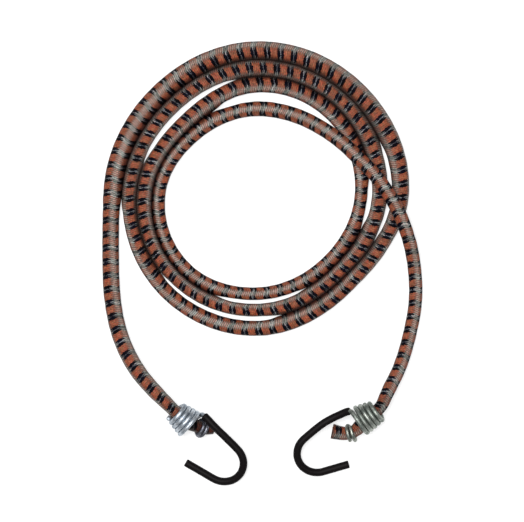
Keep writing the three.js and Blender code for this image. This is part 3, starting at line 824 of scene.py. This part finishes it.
def sleeve_piece(name, points, side, materials):
    """A plastic tube over the wire: an outer wall, two rounded rims and a bore."""
    angles = np.arange(SLEEVE_SIDES) / SLEEVE_SIDES
    travel = np.concatenate([[0], np.cumsum(np.linalg.norm(np.diff(points, axis=0), axis=1))])
    uneven = smooth_noise(travel[:, None], angles[None, :], SLEEVE_WAVES, SEED + 3)
    outer = SLEEVE_RADIUS - SLEEVE_INSET + SLEEVE_UNEVEN * uneven
    start, end = inward_directions(points)
    path = np.array([
        *(points[0] + start * away for away in RIM_PLACES),
        *points[1:-1],
        *(points[-1] + end * away for away in RIM_PLACES[::-1]),
    ])
    rim = [(SLEEVE_RADIUS + BORE_RADIUS) / 2, SLEEVE_RADIUS - RIM_INSET]
    rim = np.repeat(np.array(rim)[:, None], SLEEVE_SIDES, axis=1)
    bore = np.full((len(path), SLEEVE_SIDES), BORE_RADIUS)
    bore[0] = bore[-1] = BORE_RADIUS + BORE_FLARE
    outside = rings_along(path, np.concatenate([rim, outer, rim[::-1]]), side, SLEEVE_SIDES)
    inside = rings_along(path, bore, side, SLEEVE_SIDES)[::-1]
    rings = np.concatenate([outside, inside])
    faces = ring_faces(len(rings), SLEEVE_SIDES, cyclic=True)
    return mesh_object(name, rings.reshape(-1, 3), faces, materials)


def ring_path(route, middle):
    """Centreline of a crimp ring: more than one turn of wire round the neck."""
    centre, direction, over, right, _ = (value[0] for value in route.frames(np.array([middle])))
    radius = (NECK_RADIUS + RING_CLEARANCE) / math.cos(math.pi / RING_STEPS) + RING_WIRE_DIAMETER / 2
    points = []
    for i in range(RING_FINE_STEPS + 1):
        turns = RING_TURNS * (i / RING_FINE_STEPS - 0.5)
        angle = 2 * math.pi * turns - math.pi / 2
        outward = right * math.cos(angle) + over * math.sin(angle)
        points.append(centre + outward * radius - direction * RING_PITCH * turns)
    return np.array(points), direction


def strands_piece(name, route, edge, sign, radius, materials):
    """The rubber strands of the core, seen in a cut end."""
    random = np.random.default_rng(SEED + len(name))
    centre, direction, over, right, _ = (value[0] for value in route.frames(np.array([edge])))
    spots = []
    reach = int(radius / STRAND_RADIUS) + 1
    for row in range(-reach, reach + 1):
        for column in range(-reach, reach + 1):
            x = (column + 0.5 * (row % 2)) * STRAND_SPACING[0] * STRAND_RADIUS
            y = row * STRAND_SPACING[1] * STRAND_RADIUS
            if math.hypot(x, y) < radius - STRAND_RADIUS:
                spots.append((x, y))
    points, faces = [], []
    for x, y in spots:
        shift = random.uniform(-STRAND_SHIFT, STRAND_SHIFT, 2)
        top = random.uniform(*STRAND_TOPS)
        rings = [(-STRAND_DEPTH, 1), (top - STRAND_EDGE, 1), (top, STRAND_TOP_SHARE)]
        base = len(points)
        for out, share in rings:
            middle = centre + direction * sign * out + right * (x + shift[0]) + over * (y + shift[1])
            for k in range(STRAND_SIDES):
                angle = k / STRAND_SIDES * 2 * math.pi * sign
                outward = right * math.sin(angle) + over * math.cos(angle)
                points.append(middle + STRAND_RADIUS * share * outward)
        last = base + (len(rings) - 1) * STRAND_SIDES
        faces += [tuple(base + k for k in face) for face in ring_faces(len(rings), STRAND_SIDES)]
        faces.append(tuple(range(base, base + STRAND_SIDES))[::-1])
        faces.append(tuple(range(last, last + STRAND_SIDES)))
    return mesh_object(name, points, faces, materials, smooth=False)


# Materials. Scales of noise are per metre, and distances of bumps in metres.

def colour(text):
    """Linear colour of six sRGB hex digits."""
    values = [int(text[i:i + 2], 16) / 255 for i in (0, 2, 4)]
    return (*[v / 12.92 if v <= 0.04045 else ((v + 0.055) / 1.055) ** 2.4 for v in values], 1)


class Nodes:
    """Short ways to build a material's nodes."""

    def __init__(self, name):
        self.material = bpy.data.materials.new(name)
        self.material.use_nodes = True
        self.tree = self.material.node_tree
        self.shader = self.tree.nodes["Principled BSDF"]

    def new(self, kind, **settings):
        node = self.tree.nodes.new("ShaderNode" + kind)
        for key, value in settings.items():
            setattr(node, key, value)
        return node

    def feed(self, socket, value):
        """Links another node's output, or sets a number or a colour, which may be six hex digits."""
        if isinstance(value, bpy.types.NodeSocket):
            self.tree.links.new(value, socket)
        else:
            socket.default_value = colour(value) if isinstance(value, str) else value

    def fill(self, node, **values):
        """Feeds a node's inputs by their names, which have _ in place of blanks."""
        for name, value in values.items():
            self.feed(node.inputs[name.replace("_", " ")], value)

    def surface(self, tint, **values):
        self.fill(self.shader, Base_Color=tint, **values)

    def math(self, operation, *values):
        node = self.new("Math", operation=operation)
        for socket, value in zip(node.inputs, values):
            self.feed(socket, value)
        return node.outputs[0]

    def add(self, a, b):
        return self.math("ADD", a, b)

    def minus(self, a, b):
        return self.math("SUBTRACT", a, b)

    def times(self, a, b):
        return self.math("MULTIPLY", a, b)

    def over(self, a, b):
        return self.math("DIVIDE", a, b)

    def line(self, value, slope, start):
        """A value times its slope, from a start."""
        return self.math("MULTIPLY_ADD", value, slope, start)

    def dome(self, value):
        """One in the middle, and nothing at -1 and 1."""
        return self.math("MAXIMUM", self.minus(1.0, self.times(value, value)), 0.0)

    def mixed(self, kind, share, a, b, **settings):
        node = self.new("Mix", data_type=kind, **settings)
        self.fill(node, Factor=share)
        socket_type = "RGBA" if kind == "RGBA" else "VALUE"
        sockets = [s for s in node.inputs if s.type == socket_type][-2:]
        for socket, value in zip(sockets, (a, b)):
            self.feed(socket, value)
        return next(s for s in node.outputs if s.type == socket_type)

    def mix(self, share, a, b):
        """Mix of two colours."""
        return self.mixed("RGBA", share, a, b)

    def blend(self, share, a, b):
        """Mix of two numbers."""
        return self.mixed("FLOAT", share, a, b)

    def tinted(self, tint, other):
        """Product of two colours."""
        return self.mixed("RGBA", 1.0, tint, other, blend_type="MULTIPLY")

    def scale(self, tint, factor):
        """A colour made darker or brighter."""
        grey = self.new("CombineColor")
        self.fill(grey, Red=factor, Green=factor, Blue=factor)
        return self.tinted(tint, grey.outputs[0])

    def steps(self, value, low, high, out_low=0.0, out_high=1.0):
        """Smooth rise of a value between two levels."""
        node = self.new("MapRange", interpolation_type="SMOOTHSTEP")
        self.fill(node, Value=value, From_Min=low, From_Max=high, To_Min=out_low, To_Max=out_high)
        return node.outputs[0]

    def noise(self, scale, detail=2.0, roughness=0.5):
        """Noise that stays with the object."""
        node = self.new("TexNoise")
        place = self.new("TexCoord").outputs["Object"]
        self.fill(node, Vector=place, Scale=scale, Detail=detail, Roughness=roughness)
        return node.outputs[0]

    def bump(self, height, strength, distance):
        node = self.new("Bump")
        self.fill(node, Strength=strength, Distance=distance, Height=height)
        self.fill(self.shader, Normal=node.outputs[0])


def floor_material():
    """A pale floor that the camera, metal and glass see a little brighter, and that keeps its shadows."""
    n = Nodes("floor")
    light = n.new("LightPath")
    seen = n.math("MAXIMUM", light.outputs["Is Camera Ray"], light.outputs["Is Glossy Ray"])
    seen = n.math("MAXIMUM", seen, light.outputs["Is Transmission Ray"])
    n.surface(
        (FLOOR_GREY, FLOOR_GREY, FLOOR_GREY, 1), Roughness=0.9, Specular_IOR_Level=0.1,
        Emission_Strength=n.times(seen, FLOOR_GLOW), Emission_Color=(1, 1, 1, 1),
    )
    return n.material


def braid_material():
    """A braid of slanted floats in two leaning sets, which point into each other like a zip. The colours
    repeat every seven rows: four orange ones, then dark, pale and dark. One set shows them, the other is
    greyer."""
    n = Nodes("braid")
    split = n.new("SeparateXYZ")
    n.fill(split, Vector=n.new("UVMap", uv_map="braid").outputs[0])
    rows = n.times(split.outputs[0], ROWS)
    around = split.outputs[1]
    # two slanted counts of the floats, and the place in the one that they share
    swing = n.math("SINE", n.times(around, 2 * math.pi * LANES))
    turns = n.add(n.line(swing, -LANE_SPREAD, around), 0.5 / COLUMNS)
    a = n.line(turns, COLUMNS / 2, rows)
    b = n.line(turns, -COLUMNS / 2, rows)
    i, j = n.math("FLOOR", a), n.math("FLOOR", b)
    fa, fb = n.minus(a, i), n.minus(b, j)
    column = n.minus(i, j)
    lane = n.math("FLOOR", n.over(n.add(column, 0.5), LANE_COLUMNS))
    inner = n.minus(column, n.times(lane, LANE_COLUMNS))
    greyer = n.math("GREATER_THAN", inner, LANE_COLUMNS / 2 - 0.5)

    def pick(first, second):
        """first in the coloured set, second in the greyer one."""
        return n.blend(greyer, first, second)

    across = pick(fa, fb)
    travel = pick(n.minus(inner, fb), n.add(fa, n.minus(inner, LANE_COLUMNS - 1)))
    shift = n.times(lane, LANE_COLUMNS / 2)
    row = pick(n.minus(n.add(i, 0.25), shift), n.add(n.add(j, 1.75), shift))
    # height of the floats and of the yarns in them
    crown = n.dome(n.line(across, 2.0, -1.0))
    arch = n.minus(1.0, n.times(n.times(travel, travel), FLOAT_ARCH))
    height = n.times(n.math("SQRT", crown), arch)
    fold = n.times(across, pick(*(2 * math.pi * count for count in FLOAT_YARNS)))
    yarns = n.line(n.math("SINE", fold), 0.5, 0.5)
    # chances of each float
    key = n.new("CombineXYZ")
    n.fill(key, X=row, Y=greyer, Z=n.math("FRACT", n.over(lane, LANES)))
    random = n.new("TexWhiteNoise", noise_dimensions="3D")
    n.fill(random, Vector=key.outputs[0])
    hues = n.new("SeparateColor")
    n.fill(hues, Color=random.outputs["Color"])
    red, green, blue = hues.outputs[:3]
    # distance from the middle of the pale row, in colour periods; dark floats are lens-shaped
    level = pick(n.minus(a, shift), n.add(n.add(b, 1.5), shift))
    phase = n.math("FRACT", n.over(n.minus(level, PALE_ROW), ROWS))
    from_pale = n.math("MINIMUM", phase, n.minus(1.0, phase))
    from_pale = n.add(from_pale, n.line(n.noise(1700), RAGGED / ROWS, -RAGGED / 2 / ROWS))
    from_dark = n.math("ABSOLUTE", n.minus(from_pale, 1 / ROWS))
    lens = n.math("SQRT", n.dome(travel))
    is_dark = n.math("LESS_THAN", from_dark, n.times(lens, DARK_REACH / ROWS))
    is_orange = n.math("GREATER_THAN", from_pale, 1 / ROWS)
    is_grey = n.math("LESS_THAN", from_pale, GREY_REACH / ROWS)
    # colours of the floats
    orange = n.mix(red, "b25c3a", "8e4430")
    orange = n.mix(n.steps(n.noise(420), 0.4, 0.62), orange, "985a3c")
    orange = n.mix(n.times(n.steps(n.noise(110), 0.35, 0.65), 0.4), orange, "8a5542")
    dark = n.mix(green, "050408", "0d0c1a")
    # painted glints: the ends of the pale floats turn near-white, and those of the grey ones partly
    glint = n.times(n.steps(n.math("ABSOLUTE", travel), 0.62, 0.95), green)
    pale = n.mix(glint, n.mix(blue, "42444f", "80868f"), "dcdcda")
    salmon = n.mix(red, "b4998e", "8c7369")
    grey = n.mix(green, "666963", "a0a29f")
    grey = n.mix(n.times(glint, 0.6), grey, "d9dcda")
    coloured = n.mix(is_dark, n.mix(is_orange, pale, orange), dark)
    yarn = n.mix(greyer, coloured, n.mix(is_grey, salmon, grey))
    # painted light and shade on the floats, the yarns and their fibres, then lint, then the painted shade
    # and the darkening kept on the points
    bright = n.line(random.outputs["Value"], 0.46, 0.72)
    profile = pick(height, n.times(crown, arch))
    shade = n.line(profile, pick(*FLOAT_SWING), pick(*FLOAT_SHADE))
    shade = n.times(shade, n.line(yarns, pick(*YARN_SWING), pick(*YARN_SHADE)))
    fibre = n.noise(950, detail=3, roughness=0.6)
    shade = n.times(shade, n.steps(fibre, 0.3, 0.7, 0.6, 1.3))
    yarn = n.scale(yarn, n.times(bright, shade))
    lint = n.steps(n.noise(1300, detail=1), 0.4, 0.6)
    yarn = n.tinted(yarn, n.mix(lint, "ffe6e2", "e6f2ee"))
    # painted shade on the sides, underneath and in the crevices, and the darkening at the fittings and cut
    # ends, as a dark brown tint
    shade_and_darkening = n.new("Attribute", attribute_name="shade_and_darkening").outputs["Fac"]
    yarn = n.mix(shade_and_darkening, yarn, n.tinted(yarn, "523836"))
    blackened = n.times(is_dark, n.minus(1.0, greyer))
    n.surface(yarn, Roughness=0.6, Specular_IOR_Level=n.blend(blackened, BRAID_GLOSS, DARK_GLOSS))
    n.bump(n.line(yarns, 0.12, height), strength=0.8, distance=0.0003)
    return n.material


def cut_material():
    """The cut braid's rim, dark with the ends of its yarns."""
    n = Nodes("cut_sheath")
    fine = n.noise(2200, detail=3)
    n.surface(n.mix(n.steps(fine, 0.35, 0.65), "1f1512", "4a2c20"), Roughness=0.6)
    n.bump(fine, strength=0.6, distance=0.0003)
    return n.material


def rubber_material():
    n = Nodes("rubber")
    fine = n.noise(1500, detail=3)
    n.surface(n.mix(fine, "6b543c", "a58a62"), Roughness=0.65)
    n.bump(fine, strength=0.4, distance=0.0002)
    return n.material


def steel_material(name, bright, dull, rough):
    """Galvanised wire: a drawn surface with dull patches."""
    n = Nodes(name)
    patches = n.steps(n.noise(260, detail=4, roughness=0.6), 0.38, 0.66)
    grain = n.noise(1800, detail=3, roughness=0.6)
    tint = n.mix(patches, bright, dull)
    n.surface(tint, Metallic=1.0, Roughness=n.line(n.add(patches, grain), 0.12, rough))
    n.bump(grain, strength=0.25, distance=0.0001)
    return n.material


def vinyl_material():
    """Black plastic with a little dust."""
    n = Nodes("vinyl")
    dust = n.steps(n.noise(700, detail=4, roughness=0.65), 0.55, 0.8)
    tint = n.mix(dust, "0b0708", "1f1819")
    n.surface(tint, Roughness=n.line(dust, 0.15, 0.55), Specular_IOR_Level=0.1)
    n.bump(n.noise(420, detail=3), strength=0.3, distance=0.0002)
    return n.material


# Paths and points along the cord, in metres

def cord_path(route, start, end):
    steps = math.ceil((end - start) / PATH_STEP)
    lengths = np.linspace(start, end, steps + 1)
    return [tuple(point * MM) for point in route.point(lengths)], float(end - start) * MM


def point_at(route, length):
    return tuple(route.point(np.array([length]))[0] * MM)


# Build

bpy.context.scene.view_settings.view_transform = "Standard"
make_camera()
make_world()
make_floor()
for name, (place, size, power) in LAMPS.items():
    make_area_light(name, place, size, power)

braid = braid_material()
cut = cut_material()
rubber = rubber_material()
vinyl = vinyl_material()

route = Route()
necks = {side: route.at_fitting(FITTINGS[side], FITTINGS[side]["ring_place"]) for side in FITTINGS}
for middle in necks.values():
    route.neck_in(middle, SHOWN_NECK_SHARE)

cord_coil = cord_piece("cord_coil", route, route.loops_from, route.loops_to, [braid])
cord_left = cord_piece("cord_left", route, 0, route.loops_from, [braid, cut], "start")
cord_right = cord_piece("cord_right", route, route.loops_to, route.total, [braid, cut], "end")

for side, fitting in FITTINGS.items():
    wire_steel, ring_steel = (steel_material(*row) for row in STEELS[side])
    wire_points, sleeve_points, over = wire_path(fitting)
    wire = rod(f"wire_{side}", wire_points, SHOWN_WIRE_RADIUS, over, WIRE_SIDES, [wire_steel])
    sleeve = sleeve_piece(f"sleeve_{side}", sleeve_points, over, [vinyl])
    ring_points, ring_axis = ring_path(route, necks[side])
    ring = rod(f"ring_{side}", ring_points, RING_WIRE_DIAMETER / 2, ring_axis, RING_SIDES, [ring_steel])
    edge, sign = (0.0, -1) if side == "left" else (route.total, 1)
    share = np.interp(edge, route.lengths, route.shares)
    bore = CORD_RADIUS * share * TAIL_ROUND - SHEATH_WALL
    strands = strands_piece(f"strands_{side}", route, edge, sign, bore, [rubber])
    for piece, body, node, slot in (
        (wire, f"hook_{side}", f"hook_wire_{side}", "zinc"),
        (sleeve, f"hook_{side}", f"hook_sleeve_{side}", "vinyl"),
        (ring, f"end_{side}", f"crimp_ring_{side}", "ring_steel"),
        (strands, f"end_{side}", f"core_tail_{side}", "latex"),
    ):
        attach(piece, body)
        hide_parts(node)

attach(cord_coil, "cord")
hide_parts("sheath_coil", "core_coil")
path, length = cord_path(route, route.loops_from, route.loops_to)

for side, piece, span in (("left", cord_left, (0, route.loops_from)),
                          ("right", cord_right, (route.loops_to, route.total))):
    grip = route.at_fitting(FITTINGS[side], -CURL_LENGTH - BLEND_MARGIN)
    near = span[1] - BLEND_MARGIN if side == "left" else span[0] + BLEND_MARGIN
    point_at(route, near)
    point_at(route, grip)
    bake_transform(piece)
    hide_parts(f"sheath_lead_{side}", f"core_lead_{side}", f"sheath_tail_{side}")
    path, length = cord_path(route, *span)
    if side == "left":
        path = path[::-1]
